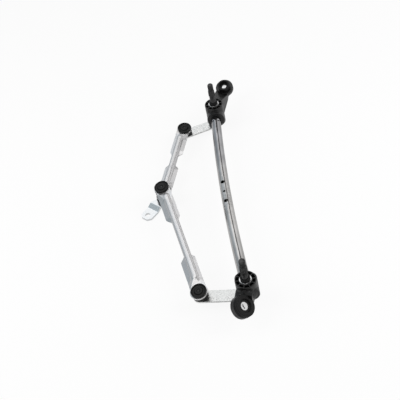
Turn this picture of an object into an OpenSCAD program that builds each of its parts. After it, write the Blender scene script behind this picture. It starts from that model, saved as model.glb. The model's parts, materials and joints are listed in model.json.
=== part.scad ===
// Windscreen wiper linkage: a cross tube with a bearing housing at each end, two wiper
// spindles with their levers, two pressed link rods and the motor crank that they share.
// Z runs up the spindles. The origin is on the near spindle, level with the tower tops.

/* [Frame tube] */
// Distance between the two wiper spindle axes
spindle_spacing = 430; // [415:5:450]
// Outside diameter of the cross tube
tube_od = 18; // [16:0.5:19]
// Wall of the cross tube
tube_wall = 1.5; // [1:0.1:2]
// Depth of the tube axis below the tower tops
tube_drop = 22; // [21:0.5:24]
// Sideways bow of the tube at its middle
tube_bow = 7; // [2:0.5:10]
// Middle of the motor bolt holes, from the near spindle
motor_holes_at = 209; // [190:1:220]
// Distance of the motor bolt holes from the tube's crown
motor_hole_aside = 2.3; // [0:0.1:3]
// Distance between the two motor bolt holes
motor_hole_pitch = 46; // [30:1:50]
// Diameter of the motor bolt holes
motor_hole_d = 7; // [5:0.5:9]
// Diameter of the locating hole between them
locating_hole_d = 4; // [2:0.5:5]
// Depth of the crimp dimples that lock the tube in its sockets
crimp_depth = 0.8; // [0.3:0.1:1]

/* [Bearing housings] */
// Outside diameter of the bearing towers
tower_d = 34.5; // [33:0.5:36]
// Height of the near tower
near_tower_h = 37; // [36:0.5:41]
// Height of the far tower
far_tower_h = 44; // [40:0.5:48]
// Diameter of the hub around the spindle
hub_d = 22.4; // [21.4:0.2:23.6]
// Wall of the outer ring at the tower top
ring_wall = 1.9; // [1.5:0.1:2.5]
// Number of radial ribs between hub and ring
rib_count = 10; // [6:1:12]
// Thickness of each radial rib
rib_t = 1.7; // [1.2:0.1:2.5]
// Depth of the pockets between the ribs
pocket_depth = 10; // [5:0.5:10]
// Outside diameter of the tube socket
barrel_d = 32.6; // [28:0.2:34]
// Reach of the tube socket from the spindle axis
barrel_reach = 22; // [21:0.5:30]
// Length of the socket body behind the spindle axis
barrel_back = 16; // [14:0.5:20]
// Rounding of the closed end of the socket body
barrel_round = 7; // [3:0.5:9]

/* [Bearings and spindles] */
// Diameter of the wiper spindle
spindle_d = 12.4; // [11.6:0.1:12.8]
// Height of the spindle above the tower top
spindle_rise = 48; // [44:1:52]
// Thread diameter at the spindle tip
thread_d = 10; // [9:0.5:10]
// Length of the threaded tip
thread_len = 14; // [12:0.5:16]
// Length of the knurled cone under the thread
knurl_len = 12; // [8:0.5:14]
// Diameter of the knurled cone at its foot
knurl_d = 13.6; // [13.2:0.1:14.2]
// Diameter of the knurled cone at its top
knurl_top_d = 11.8; // [11:0.1:12.6]
// Number of knurl grooves
knurl_count = 30; // [20:1:36]
// Outside diameter of the bearing bushes
bush_od = 17.4; // [16.6:0.2:18]
// Length of each bush
bush_len = 12; // [8:0.5:13]
// Diameter of the lower bush flange
bush_flange_d = 22; // [20:0.5:23]
// Thickness of the lower bush flange
bush_flange_t = 1.5; // [1:0.1:2]
// Outside diameter of the bright top washer
washer_d = 19.6; // [18.8:0.1:21]
// Thickness of the washers
washer_t = 1.2; // [0.8:0.1:1.5]
// Outside diameter of the retaining ring
clip_d = 15; // [14.4:0.1:16]
// Thickness of the retaining ring
clip_t = 1.2; // [0.8:0.1:1.5]
// Depth of the retaining ring groove
clip_groove = 0.5; // [0.3:0.1:0.7]
// Outside diameter of the rubber shaft seal
seal_d = 14.8; // [14:0.1:15.6]
// Height of the rubber shaft seal
seal_h = 5; // [3:0.5:7]

/* [Levers] */
// Near lever length, spindle to ball
near_lever_len = 77.4; // [70:0.2:84]
// Near lever direction, counterclockwise from +X
near_lever_angle = 170; // [162:0.2:178]
// Far lever length, spindle to ball
far_lever_len = 66.8; // [60:0.2:72]
// Far lever direction, counterclockwise from +X
far_lever_angle = 193.8; // [186:0.1:201]
// Width of the lever strip
lever_w = 22.5; // [20:0.5:25]
// Thickness of the lever strip
lever_t = 3.2; // [2.6:0.2:5]
// Diameter of the spindle's riveted end in the lever
spindle_tail_d = 10; // [9:0.1:11]

/* [Ball joints] */
// Diameter of the joint balls
ball_d = 10; // [9.4:0.2:11]
// Height of a ball centre above the strip that carries it
ball_rise = 11; // [10.6:0.1:12]
// Diameter of the neck under a ball
ball_neck_d = 6; // [5.4:0.2:6.6]
// Diameter of the riveted shank of a ball stud
ball_shank_d = 8; // [7:0.2:9]
// Diameter of the rivet heads
rivet_head_d = 13; // [12:0.5:14]
// Thickness of the rivet heads
rivet_head_t = 1.8; // [1.2:0.1:2.5]
// Diameter of the socket cap on top of a rod
cap_d = 25.6; // [24:0.2:27]
// Height of the socket cap above the rod
cap_h = 3.6; // [3.3:0.1:5]
// Diameter of the socket skirt under a rod
skirt_d = 28.6; // [26:0.2:29]
// Height of the socket skirt under a rod
skirt_h = 9; // [7:0.1:9.2]
// Diameter of the socket where it passes the rod
socket_neck_d = 20; // [18:0.2:21]
// Height of the upper crank ball above the lower one
ball_stack = 19.5; // [19:0.5:22]
// Gap between the two halves of the split crank stud
stud_split = 1; // [0.6:0.1:1.5]

/* [Link rods] */
// Distance of the crank pin from the line of the spindles
pin_offset = 118; // [113:0.2:123]
// Place of the crank pin along that line, from the near spindle
pin_at = 251.6; // [244:0.2:260]
// Height of the upper crank ball above the near lever's ball
near_rod_climb = 7.5; // [6:0.5:9]
// Lean of the near rod about its own length
near_rod_lean = -7; // [-8:0.5:0]
// Lean of the far rod about its own length
far_rod_lean = -6; // [-7:0.5:0]
// Thickness of the pressed sheet
sheet_t = 2; // [1.5:0.1:2.2]
// Height of the rod's top face above the ball centres
plate_rise = 2.5; // [2.2:0.1:3]
// Width of the flat paddles
paddle_w = 23; // [20:0.5:26]
// Outside diameter of the half-round bead
bead_d = 11; // [9:0.5:12]
// Diameter of the rod's end discs
end_disc_d = 28; // [27:0.5:30]
// Length of the near rod's paddle at the lever, from the ball
near_paddle_len = 72; // [60:1:80]
// Length of the near rod's paddle at the crank, from the ball
near_crank_paddle_len = 78; // [60:1:90]
// Length of the far rod's paddle at the lever, from the ball
far_paddle_len = 66; // [55:1:72]
// Length of the far rod's paddle at the crank, from the ball
far_crank_paddle_len = 71; // [60:1:76]
// Distance of the bead from the paddles' middle line
bead_aside = 2.3; // [0:0.1:3]
// Chamfer of the paddles' short shoulders
short_shoulder = 2; // [0.5:0.5:3]
// Chamfer of the paddles' long shoulders
shoulder = 6; // [2:0.5:7]
// Start of the near rod's bead, from the lever ball
near_bead_start = 33; // [28:1:40]
// Start of the far rod's bead, from the lever ball
far_bead_start = 25; // [24:1:30]
// Start of each bead, from the crank ball
crank_bead_start = 24; // [23:1:30]
// Diameter of the drain hole at the lever end of each bead
drain_hole_d = 3.2; // [2:0.2:4]

/* [Motor crank] */
// Crank length along its strip, ball stud to motor shaft
crank_len = 42; // [38:0.5:48]
// Distance of the strip's middle line from the ball stud
crank_skew = 8.8; // [0:0.1:9.5]
// Direction of the crank strip, counterclockwise from +X
crank_angle = 226; // [180:1:240]
// Width of the crank strip
crank_w = 23.5; // [21:0.5:26]
// Thickness of the crank strip
crank_t = 4; // [3:0.5:5]
// Drop of the motor end below the ball end
crank_joggle = 5; // [4:0.5:8]
// Length of the sloped step
joggle_len = 9.5; // [7:0.5:11]
// Distance of the step from the ball stud
joggle_at = 18; // [17:0.5:20]
// Distance of the crank's free end from the motor shaft
crank_tip = 9.5; // [8:0.5:12]
// Diameter of the motor shaft hole
motor_shaft_d = 9.5; // [8:0.5:10]
// Chamfer of the crank's corners
crank_chamfer = 6; // [4:0.5:8]

/* [Mount eyes] */
// Centre of the near eye's front face, from the near spindle
near_eye = [-10.8, -35.8, -19.4]; // [-42:0.1:-8]
// Lean of the near eye about X and Y
near_eye_lean = [20, 42]; // [0:1:50]
// Centre of the far eye's front face, from the far spindle
far_eye = [26.6, 61.8, -14.4]; // [-24:0.1:68]
// Lean of the far eye about X and Y
far_eye_lean = [21, -5]; // [-10:1:30]
// Outside diameter of the eye rings
eye_ring_d = 37; // [34:0.5:38]
// Thickness of the eye rings
eye_ring_h = 9; // [7:0.5:11]
// Diameter of the rubber grommets inside the eye rings
grommet_neck_d = 20; // [18:0.5:21]
// Front flange diameter of the near grommet
near_flange_d = 31.5; // [28:0.5:33]
// Front flange height of the near grommet
near_flange_h = 6; // [5:0.5:8]
// Front collar diameter of the far grommet
far_flange_d = 23.4; // [21.2:0.1:26]
// Front collar height of the far grommet
far_flange_h = 9.5; // [8:0.5:13]
// Diameter of the dish in the near grommet's front face
grommet_dish_d = 20.5; // [18:0.5:23]
// Depth of that dish
grommet_dish = 1.6; // [0.8:0.1:2.5]
// Rear flange diameter of both grommets
rear_flange_d = 27; // [24:0.5:28]
// Rear flange height of both grommets
rear_flange_h = 3.5; // [2.5:0.5:5]
// Outside diameter of the spacer sleeves
sleeve_od = 14.6; // [13:0.1:15.2]
// Bore of the spacer sleeves
sleeve_bore = 12; // [10:0.1:12.2]
// Width of the arm that carries the near eye
near_arm_w = 26; // [23:0.5:29]
// Width of the arm that carries the far eye
far_arm_w = 21; // [18:0.5:24]
// Recess of the sleeves' front ends in the grommets
sleeve_recess = 0.6; // [0.2:0.1:1.5]

/* [Fits] */
// Radial clearance of the spindles in their bushes
run_gap = 0.05; // [0.02:0.01:0.09]
// Radial clearance of pieces that are pressed or moulded together
fit_gap = 0.03; // [0.01:0.01:0.05]
// Clearance of the balls in their sockets
ball_gap = 0.08; // [0.05:0.01:0.09]
// Axial play of the spindles
axial_gap = 0.15; // [0.1:0.05:0.3]

/* [Hidden] */
$fn = 96;

zinc = "lightgrey";
rod_zinc = "lavender";
black_plastic = [0.12, 0.12, 0.12];
black_rubber = [0.08, 0.08, 0.08];
dark_steel = [0.25, 0.25, 0.26];
bronze = [0.6, 0.45, 0.3];

tower_r = tower_d / 2;
barrel_r = barrel_d / 2;
ball_r = ball_d / 2;
tube_end_wall = 4.5;
far_dish_d = sleeve_od + 2;
far_dish = 0.8;

// The tube axis is one long arc from spindle to spindle, bowed towards -X
half_spacing = spindle_spacing / 2;
tube_arc_r = (half_spacing * half_spacing + tube_bow * tube_bow) / (2 * tube_bow);
tube_arc_x = tube_arc_r - tube_bow;
tube_inset = bush_od / 2 + tube_end_wall;
function tube_x(y) = tube_arc_x - sqrt(tube_arc_r * tube_arc_r - pow(y - half_spacing, 2));
function tube_heading(y) = asin((half_spacing - y) / tube_arc_r);
socket_heading = atan(-tube_x(barrel_reach) / barrel_reach);

// Heights down each spindle
near_lever_z = -near_tower_h - bush_flange_t - axial_gap - washer_t;
far_lever_z = -far_tower_h - bush_flange_t - axial_gap - washer_t;

// Ball centres: lever balls from the levers, crank balls one above the other on the pin
function on_circle(r, a) = [r * cos(a), r * sin(a)];
far_axis = [0, spindle_spacing, 0];
near_ball_xy = on_circle(near_lever_len, near_lever_angle);
far_ball_xy = [0, spindle_spacing] + on_circle(far_lever_len, far_lever_angle);
near_ball_z = near_lever_z + ball_rise;
far_ball_z = far_lever_z + ball_rise;
upper_ball_z = near_ball_z + near_rod_climb;
lower_ball_z = upper_ball_z - ball_stack;
pin_xy = [-pin_offset, pin_at];
near_ball = [near_ball_xy[0], near_ball_xy[1], near_ball_z];
far_ball = [far_ball_xy[0], far_ball_xy[1], far_ball_z];
upper_ball = [pin_xy[0], pin_xy[1], upper_ball_z];
lower_ball = [pin_xy[0], pin_xy[1], lower_ball_z];
crank_z = lower_ball_z - ball_rise;
near_rod_len = norm(upper_ball - near_ball);
far_rod_len = norm(lower_ball - far_ball);

// The stud is split halfway between the lower cap and the upper skirt
lower_cap_z = lower_ball_z + plate_rise + cap_h;
upper_skirt_z = upper_ball_z + plate_rise - sheet_t - skirt_h;
split_z = (lower_cap_z + upper_skirt_z - stud_split) / 2;

// Puts the origin at a and the X axis along the line from a to b, leaning about that line
module along(a, b, lean = 0) {
    d = b - a;
    translate(a)
        rotate([0, 0, atan2(d[1], d[0])])
            rotate([0, -atan2(d[2], norm([d[0], d[1]])), 0])
                rotate([lean, 0, 0])
                    children();
}

// The tube's arc with a ring of outside diameter od and inside diameter id, cut back by inset
module tube_arc(od, id, inset) {
    half_angle = asin(half_spacing / tube_arc_r) - asin(inset / tube_arc_r);
    translate([tube_arc_x, half_spacing, -tube_drop])
        rotate([0, 0, 180 - half_angle])
            rotate_extrude(angle = 2 * half_angle, $fn = 4000)
                translate([tube_arc_r, 0])
                    difference() {
                        circle(d = od, $fn = 96);
                        if (id > 0)
                            circle(d = id, $fn = 96);
                    }
}

module frame_tube() {
    holes_x = tube_x(motor_holes_at) - motor_hole_aside;
    dimple_at = barrel_reach + 9;
    color(zinc)
        difference() {
            tube_arc(tube_od, tube_od - 2 * tube_wall, tube_inset);
            for (side = [-1, 1])
                translate([holes_x, motor_holes_at + side * motor_hole_pitch / 2, -tube_drop])
                    cylinder(d = motor_hole_d, h = 2 * tube_od, center = true);
            translate([holes_x, motor_holes_at, -tube_drop])
                cylinder(d = locating_hole_d, h = tube_od);
            for (y = [dimple_at, spindle_spacing - dimple_at], side = [-35, 35])
                crimp_dimple(y, side);
        }
}

// A round dent in the tube's upper side, turned about the tube axis
module crimp_dimple(y, turn) {
    r = 4;
    translate([tube_x(y), y, -tube_drop])
        rotate([0, turn, tube_heading(y)])
            translate([0, 0, tube_od / 2 + r - crimp_depth])
                sphere(r = r);
}

// The socket body: a round bar with a rounded closed end, along +Y
module barrel() {
    translate([0, -barrel_back, 0])
        rotate([-90, 0, 0])
            rotate_extrude() {
                square([barrel_r - barrel_round, barrel_back + barrel_reach]);
                translate([0, barrel_round])
                    square([barrel_r, barrel_back + barrel_reach - barrel_round]);
                translate([barrel_r - barrel_round, barrel_round])
                    intersection() {
                        circle(r = barrel_round);
                        translate([0, -barrel_round]) square(barrel_round);
                    }
            }
}

// The open pockets between hub and outer ring, left by the radial ribs
module tower_pockets() {
    translate([0, 0, -pocket_depth])
        difference() {
            cylinder(r = tower_r - ring_wall, h = pocket_depth + 1);
            translate([0, 0, -1]) cylinder(d = hub_d, h = pocket_depth + 3);
            for (i = [0 : rib_count - 1])
                rotate([0, 0, i * 360 / rib_count])
                    translate([0, -rib_t / 2, -1])
                        cube([tower_r, rib_t, pocket_depth + 3]);
        }
}

// Bores for the two bushes, a wider clearance bore between them and a spot face below
module spindle_bore(tower_h) {
    bush_r = bush_od / 2 + fit_gap;
    spot_room = 3;
    translate([0, 0, -bush_len]) cylinder(r = bush_r, h = bush_len + 1);
    translate([0, 0, -tower_h - 1]) cylinder(r = bush_r, h = bush_len + 1);
    translate([0, 0, -tower_h]) cylinder(d = spindle_d + 2, h = tower_h);
    translate([0, 0, -2 * tower_h]) cylinder(d = lever_w + spot_room, h = tower_h);
}

module eye_frame(centre, lean) {
    translate(centre)
        rotate([lean[0], lean[1], 0])
            children();
}

module eye_ring() {
    translate([0, 0, -eye_ring_h]) cylinder(d = eye_ring_d, h = eye_ring_h);
}

// What the grommet needs: its bore, and room for its two flanges
module eye_cuts(flange_d) {
    front_room = 40;
    rear_room = rear_flange_h + 6;
    flange_room = 1.2;
    cylinder(d = flange_d + flange_room, h = front_room);
    translate([0, 0, -eye_ring_h - rear_room]) {
        cylinder(r = grommet_neck_d / 2 + fit_gap, h = eye_ring_h + rear_room + front_room);
        cylinder(d = rear_flange_d + flange_room, h = rear_room);
    }
}

// An arm along +X: a side profile trimmed by a tapered plan, with a stiffening rib on top
module arm(profile, rib, reach, root_w, eye_w) {
    rib_w = 4;
    depth = 80;
    intersection() {
        rotate([90, 0, 0])
            translate([0, 0, -root_w / 2])
                linear_extrude(root_w) polygon(profile);
        translate([0, 0, -depth])
            linear_extrude(depth)
                polygon([[0, -root_w / 2], [reach, -eye_w / 2], [reach, eye_w / 2], [0, root_w / 2]]);
    }
    rotate([90, 0, 0])
        translate([0, 0, -rib_w / 2])
            linear_extrude(rib_w) polygon(rib);
}

// A housing around the spindle axis at y = axis_y, with the arm and eye ring as children
module housing(tower_h, heading, axis_y) {
    difference() {
        union() {
            translate([0, 0, -tower_h]) cylinder(r = tower_r, h = tower_h);
            translate([0, 0, -tube_drop]) rotate([0, 0, heading]) barrel();
            children();
        }
        spindle_bore(tower_h);
        tower_pockets();
        translate([0, -axis_y, 0]) tube_arc(tube_od + 2 * fit_gap, 0, tube_inset - fit_gap);
    }
}

module near_bearing_housing() {
    reach = norm([near_eye[0], near_eye[1]]);
    eye_z = near_eye[2];
    web_top = -8;
    web_bottom = 2 - near_tower_h;
    web_end = reach - 5;
    rib_top = -2;
    rib_end = reach - 12;
    web = [[0, web_top], [tower_r, web_top], [web_end, eye_z + 1], [web_end, eye_z - 8],
        [tower_r, web_bottom], [0, web_bottom]];
    rib = [[0, rib_top], [tower_r - 2, rib_top], [rib_end, eye_z + 5], [rib_end, eye_z], [0, eye_z]];
    color(black_plastic)
        difference() {
            housing(near_tower_h, socket_heading, 0) {
                rotate([0, 0, atan2(near_eye[1], near_eye[0])])
                    arm(web, rib, reach, near_arm_w, near_arm_w - 2);
                eye_frame(near_eye, near_eye_lean) eye_ring();
            }
            eye_frame(near_eye, near_eye_lean) eye_cuts(near_flange_d);
        }
}

module far_bearing_housing() {
    reach = norm([far_eye[0], far_eye[1]]);
    eye_z = far_eye[2];
    web_top = -5;
    web_bottom = 4 - far_tower_h;
    web_flat = reach - 17;
    rib_top = -2;
    rib_end = reach - 20;
    web = [[0, web_top], [tower_r - 2, web_top - 2], [web_flat, eye_z - 6], [reach, eye_z - 6],
        [reach, eye_z - 13], [tower_r + 2, web_bottom], [0, web_bottom]];
    rib = [[0, rib_top], [tower_r - 2, rib_top - 1], [rib_end, eye_z - 4], [rib_end, eye_z - 7],
        [0, eye_z - 7]];
    pocket_wall = 2.5;
    pocket_from = tower_r + 5;
    pocket_top = eye_z - 9;
    pocket = [rib_end - pocket_from, far_arm_w / 2 - 2 * pocket_wall, far_tower_h];
    color(black_plastic)
        translate(far_axis)
            difference() {
                housing(far_tower_h, 180 - socket_heading, spindle_spacing) {
                    rotate([0, 0, atan2(far_eye[1], far_eye[0])])
                        difference() {
                            arm(web, rib, reach, far_arm_w, far_arm_w);
                            for (side = [-1, 1])
                                translate([pocket_from, side * far_arm_w / 4 - pocket[1] / 2,
                                           pocket_top - pocket[2]])
                                    cube(pocket);
                        }
                    eye_frame(far_eye, far_eye_lean) eye_ring();
                }
                eye_frame(far_eye, far_eye_lean) eye_cuts(far_flange_d);
            }
}

// A stepped rubber grommet on the local Z axis, front face up
module grommet(flange_d, flange_h, dish_d, dish) {
    edge = 1.2;
    groove = 1;
    inner = sleeve_od / 2 + fit_gap;
    color(black_rubber)
        rotate_extrude()
            polygon([
                [inner, -eye_ring_h - rear_flange_h],
                [rear_flange_d / 2 - edge, -eye_ring_h - rear_flange_h],
                [rear_flange_d / 2, -eye_ring_h - rear_flange_h + edge],
                [rear_flange_d / 2, -eye_ring_h],
                [grommet_neck_d / 2, -eye_ring_h],
                [grommet_neck_d / 2, 0],
                [flange_d / 2, 0],
                [flange_d / 2, flange_h * 0.4],
                [flange_d / 2 - groove, flange_h * 0.5],
                [flange_d / 2, flange_h * 0.6],
                [flange_d / 2, flange_h - edge],
                [flange_d / 2 - edge, flange_h],
                [dish_d / 2 + dish, flange_h],
                [dish_d / 2, flange_h - dish],
                [inner, flange_h - dish]
            ]);
}

module near_grommet() {
    eye_frame(near_eye, near_eye_lean)
        grommet(near_flange_d, near_flange_h, grommet_dish_d, grommet_dish);
}

module far_grommet() {
    translate(far_axis)
        eye_frame(far_eye, far_eye_lean)
            grommet(far_flange_d, far_flange_h, far_dish_d, far_dish);
}

// A rolled steel spacer sleeve through a grommet, its rear end standing a little proud
module sleeve(front) {
    proud = 0.5;
    back = eye_ring_h + rear_flange_h + proud;
    color(zinc)
        translate([0, 0, -back])
            difference() {
                cylinder(d = sleeve_od, h = back + front);
                translate([0, 0, -1]) cylinder(d = sleeve_bore, h = back + front + 2);
            }
}

module near_grommet_sleeve() {
    eye_frame(near_eye, near_eye_lean) sleeve(near_flange_h - grommet_dish - sleeve_recess);
}

module far_grommet_sleeve() {
    translate(far_axis)
        eye_frame(far_eye, far_eye_lean) sleeve(far_flange_h - far_dish - sleeve_recess);
}

// A plain bush whose top is at z = 0, with a flange under it when flange_t is above 0
module bush(flange_t) {
    color(bronze)
        difference() {
            union() {
                translate([0, 0, -bush_len]) cylinder(d = bush_od, h = bush_len);
                if (flange_t > 0)
                    translate([0, 0, -bush_len - flange_t]) cylinder(d = bush_flange_d, h = flange_t);
            }
            translate([0, 0, -bush_len - flange_t - 1])
                cylinder(r = spindle_d / 2 + run_gap, h = bush_len + flange_t + 2);
        }
}

module near_upper_bush() { bush(0); }

module near_lower_bush() {
    translate([0, 0, bush_len - near_tower_h]) bush(bush_flange_t);
}

module far_upper_bush() {
    translate(far_axis) bush(0);
}

module far_lower_bush() {
    translate(far_axis + [0, 0, bush_len - far_tower_h]) bush(bush_flange_t);
}

// A spindle: riveted tail, plain shank, retaining groove, knurled cone and thread
module spindle(lever_z) {
    r = spindle_d / 2;
    tail_r = spindle_tail_d / 2;
    head_r = rivet_head_d / 2;
    head_edge = 0.6;
    groove_z = axial_gap + washer_t;
    thread_z = spindle_rise - thread_len;
    knurl_z = thread_z - knurl_len;
    lead = 1;
    relief = 0.4;
    groove_r = 0.35;
    groove_out = 0.05;
    groove_run = 0.5;
    color(dark_steel)
        difference() {
            rotate_extrude()
                polygon([
                    [0, lever_z - lever_t - rivet_head_t],
                    [head_r - head_edge, lever_z - lever_t - rivet_head_t],
                    [head_r, lever_z - lever_t - rivet_head_t + head_edge],
                    [head_r, lever_z - lever_t],
                    [tail_r, lever_z - lever_t],
                    [tail_r, lever_z],
                    [r, lever_z],
                    [r, groove_z],
                    [r - clip_groove, groove_z],
                    [r - clip_groove, groove_z + clip_t],
                    [r, groove_z + clip_t],
                    [r, knurl_z - lead],
                    [knurl_d / 2, knurl_z],
                    [knurl_top_d / 2, thread_z - lead],
                    [thread_d / 2 - relief, thread_z],
                    [thread_d / 2, thread_z + lead],
                    [thread_d / 2, spindle_rise - lead],
                    [thread_d / 2 - lead, spindle_rise],
                    [0, spindle_rise]
                ]);
            for (i = [0 : knurl_count - 1])
                rotate([0, 0, i * 360 / knurl_count])
                    along([knurl_d / 2 + groove_out, 0, knurl_z - groove_run],
                          [knurl_top_d / 2 + groove_out, 0, thread_z - lead + groove_run])
                        rotate([0, 90, 0])
                            cylinder(r = groove_r, h = knurl_len + groove_run, $fn = 4);
        }
}

module near_spindle() { spindle(near_lever_z); }

module far_spindle() {
    translate(far_axis) spindle(far_lever_z);
}

// A flat strip with round ends from the spindle to the ball, along +X, top face at z = 0
module lever(len) {
    color(zinc)
        translate([0, 0, -lever_t])
            linear_extrude(lever_t)
                difference() {
                    union() {
                        circle(d = lever_w);
                        translate([len, 0]) circle(d = lever_w);
                        translate([0, -lever_w / 2]) square([len, lever_w]);
                    }
                    circle(r = spindle_tail_d / 2 + fit_gap);
                    translate([len, 0]) circle(r = ball_shank_d / 2 + fit_gap);
                }
}

module near_lever() {
    translate([0, 0, near_lever_z])
        rotate([0, 0, near_lever_angle])
            lever(near_lever_len);
}

module far_lever() {
    translate(far_axis + [0, 0, far_lever_z])
        rotate([0, 0, far_lever_angle])
            lever(far_lever_len);
}

// A ball on its neck above a strip of thickness strip_t, riveted below it; the ball is at z = 0
module ball_stud(strip_t) {
    seat = 1;
    color(dark_steel) {
        sphere(d = ball_d);
        translate([0, 0, -ball_rise]) cylinder(d = ball_neck_d, h = ball_rise);
        translate([0, 0, -ball_rise]) cylinder(d = rivet_head_d - 2, h = seat);
        translate([0, 0, -ball_rise - strip_t]) cylinder(d = ball_shank_d, h = strip_t);
        translate([0, 0, -ball_rise - strip_t - rivet_head_t])
            cylinder(d = rivet_head_d, h = rivet_head_t);
    }
}

module near_lever_ball() {
    translate(near_ball) ball_stud(lever_t);
}

module far_lever_ball() {
    translate(far_ball) ball_stud(lever_t);
}

module top_washer() {
    color("white")
        translate([0, 0, axial_gap]) flat_ring(washer_d, spindle_d + 2 * fit_gap, washer_t);
}

module flat_ring(od, id, t) {
    difference() {
        cylinder(d = od, h = t);
        translate([0, 0, -1]) cylinder(d = id, h = t + 2);
    }
}

// An open retaining ring with its gap on the +X side
module retaining_ring() {
    gap = 3;
    color(dark_steel)
        translate([0, 0, axial_gap + washer_t])
            difference() {
                flat_ring(clip_d, spindle_d - 2 * clip_groove + 2 * fit_gap, clip_t);
                translate([0, -gap / 2, -1]) cube([clip_d, gap, clip_t + 2]);
            }
}

// A rubber seal with a sloped lip, standing on the retaining ring
module shaft_seal() {
    inner = spindle_d / 2 + fit_gap;
    color(black_rubber)
        translate([0, 0, axial_gap + washer_t + clip_t])
            rotate_extrude()
                polygon([[inner, 0], [seal_d / 2, 0], [seal_d / 2, seal_h * 0.6], [inner + 0.4, seal_h],
                    [inner, seal_h]]);
}

module lower_washer(lever_z) {
    color(zinc)
        translate([0, 0, lever_z]) flat_ring(bush_flange_d, spindle_d + 2 * fit_gap, washer_t);
}

module near_top_washer() { top_washer(); }
module near_retaining_ring() { retaining_ring(); }
module near_shaft_seal() { shaft_seal(); }
module near_lower_washer() { lower_washer(near_lever_z); }

module far_top_washer() {
    translate(far_axis) top_washer();
}

module far_retaining_ring() {
    translate(far_axis) retaining_ring();
}

module far_shaft_seal() {
    translate(far_axis) shaft_seal();
}

module far_lower_washer() {
    translate(far_axis) lower_washer(far_lever_z);
}

// A half-round bar along X with ball ends, above the sheet's underside
module bead_solid(from, to, d) {
    room = 2 * d;
    intersection() {
        union() {
            translate([from, 0, 0]) rotate([0, 90, 0]) cylinder(d = d, h = to - from);
            translate([from, 0, 0]) sphere(d = d);
            translate([to, 0, 0]) sphere(d = d);
        }
        translate([from - room, -room / 2, 0]) cube([to - from + 2 * room, room, room]);
    }
}

// A pressed rod along X between its ball centres, its sheet just above them; crank_left and
// crank_right are the chamfers of the shoulders near the crank
module rod(len, lever_paddle, crank_paddle, bead_from, crank_left, crank_right) {
    half = paddle_w / 2;
    left = bead_d / 2 - bead_aside;
    right = -bead_d / 2 - bead_aside;
    crank_from = len - crank_paddle;
    bead_to = len - crank_bead_start;
    below = 1;
    color(rod_zinc)
        translate([0, 0, plate_rise - sheet_t])
            difference() {
                union() {
                    linear_extrude(sheet_t) {
                        circle(d = end_disc_d);
                        translate([len, 0]) circle(d = end_disc_d);
                        polygon([
                            [0, -half], [lever_paddle - short_shoulder, -half], [lever_paddle, right],
                            [lever_paddle, left], [lever_paddle - shoulder, half], [0, half]
                        ]);
                        polygon([
                            [len, half], [crank_from + crank_left, half], [crank_from, left],
                            [crank_from, right], [crank_from + crank_right, -half], [len, -half]
                        ]);
                    }
                    translate([0, -bead_aside, 0]) bead_solid(bead_from, bead_to, bead_d);
                }
                translate([0, -bead_aside, -below]) {
                    bead_hollow(bead_from, bead_to, below);
                    translate([bead_from - bead_d / 2 + 1, 0, 0])
                        cylinder(d = drain_hole_d, h = bead_d);
                }
                translate([0, 0, -below]) {
                    socket_hole(0);
                    socket_hole(len);
                }
            }
}

// The open underside of the bead, started below the sheet
module bead_hollow(from, to, below) {
    hollow_d = bead_d - 2 * sheet_t;
    overlap = 0.01;
    translate([0, 0, below]) bead_solid(from, to, hollow_d);
    translate([from, -hollow_d / 2, 0]) cube([to - from, hollow_d, below + overlap]);
}

module socket_hole(at) {
    translate([at, 0, 0]) cylinder(r = socket_neck_d / 2 + fit_gap, h = sheet_t + 2);
}

module near_rod() {
    along(near_ball, upper_ball, near_rod_lean)
        rod(near_rod_len, near_paddle_len, near_crank_paddle_len, near_bead_start, shoulder, short_shoulder);
}

module far_rod() {
    along(far_ball, lower_ball, far_rod_lean)
        rod(far_rod_len, far_paddle_len, far_crank_paddle_len, far_bead_start, short_shoulder, shoulder);
}

// A moulded socket around a ball at the origin: cap above the rod, skirt below it
module socket(open_top = false) {
    plate_bottom = plate_rise - sheet_t;
    top = plate_rise + cap_h;
    cap_r = cap_d / 2;
    skirt_r = skirt_d / 2;
    neck_r = socket_neck_d / 2;
    skirt_z = plate_bottom - skirt_h;
    rim_w = 1.8;
    dish = 2;
    edge = 0.7;
    mouth_r = ball_r + 1.5;
    neck_play = 0.6;
    top_flare = 1.6;
    overlap = 0.01;
    color(black_plastic)
        difference() {
            rotate_extrude()
                polygon([
                    [0, skirt_z], [skirt_r - edge, skirt_z], [skirt_r, skirt_z + edge],
                    [skirt_r, plate_bottom], [neck_r, plate_bottom], [neck_r, plate_rise],
                    [cap_r, plate_rise], [cap_r, top - edge], [cap_r - edge, top],
                    [cap_r - rim_w - edge, top], [cap_r - rim_w - dish, top - dish],
                    [mouth_r, top - dish], [ball_r - 1, top - edge], [0, top - edge / 2]
                ]);
            sphere(r = ball_r + ball_gap);
            translate([0, 0, skirt_z - overlap])
                cylinder(r1 = mouth_r, r2 = ball_neck_d / 2 + neck_play, h = ball_r);
            if (open_top)
                cylinder(r1 = ball_neck_d / 2, r2 = ball_neck_d / 2 + top_flare, h = top + 1);
        }
}

module near_rod_lever_socket() {
    along(near_ball, upper_ball, near_rod_lean) socket();
}

module near_rod_crank_socket() {
    along(near_ball, upper_ball, near_rod_lean)
        translate([near_rod_len, 0, 0]) socket();
}

module far_rod_lever_socket() {
    along(far_ball, lower_ball, far_rod_lean) socket();
}

module far_rod_crank_socket() {
    along(far_ball, lower_ball, far_rod_lean)
        translate([far_rod_len, 0, 0]) socket(open_top = true);
}

// Upper half of the split double ball stud
module crank_upper_ball() {
    color(dark_steel)
        translate(upper_ball) {
            sphere(d = ball_d);
            translate([0, 0, split_z + stud_split - upper_ball_z])
                cylinder(d = ball_neck_d, h = upper_ball_z - split_z - stud_split);
        }
}

// Lower half of the double ball stud, riveted into the crank
module crank_ball_stud() {
    translate(lower_ball) ball_stud(crank_t);
    color(dark_steel)
        translate(lower_ball) cylinder(d = ball_neck_d, h = split_z - lower_ball_z);
}

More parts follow.
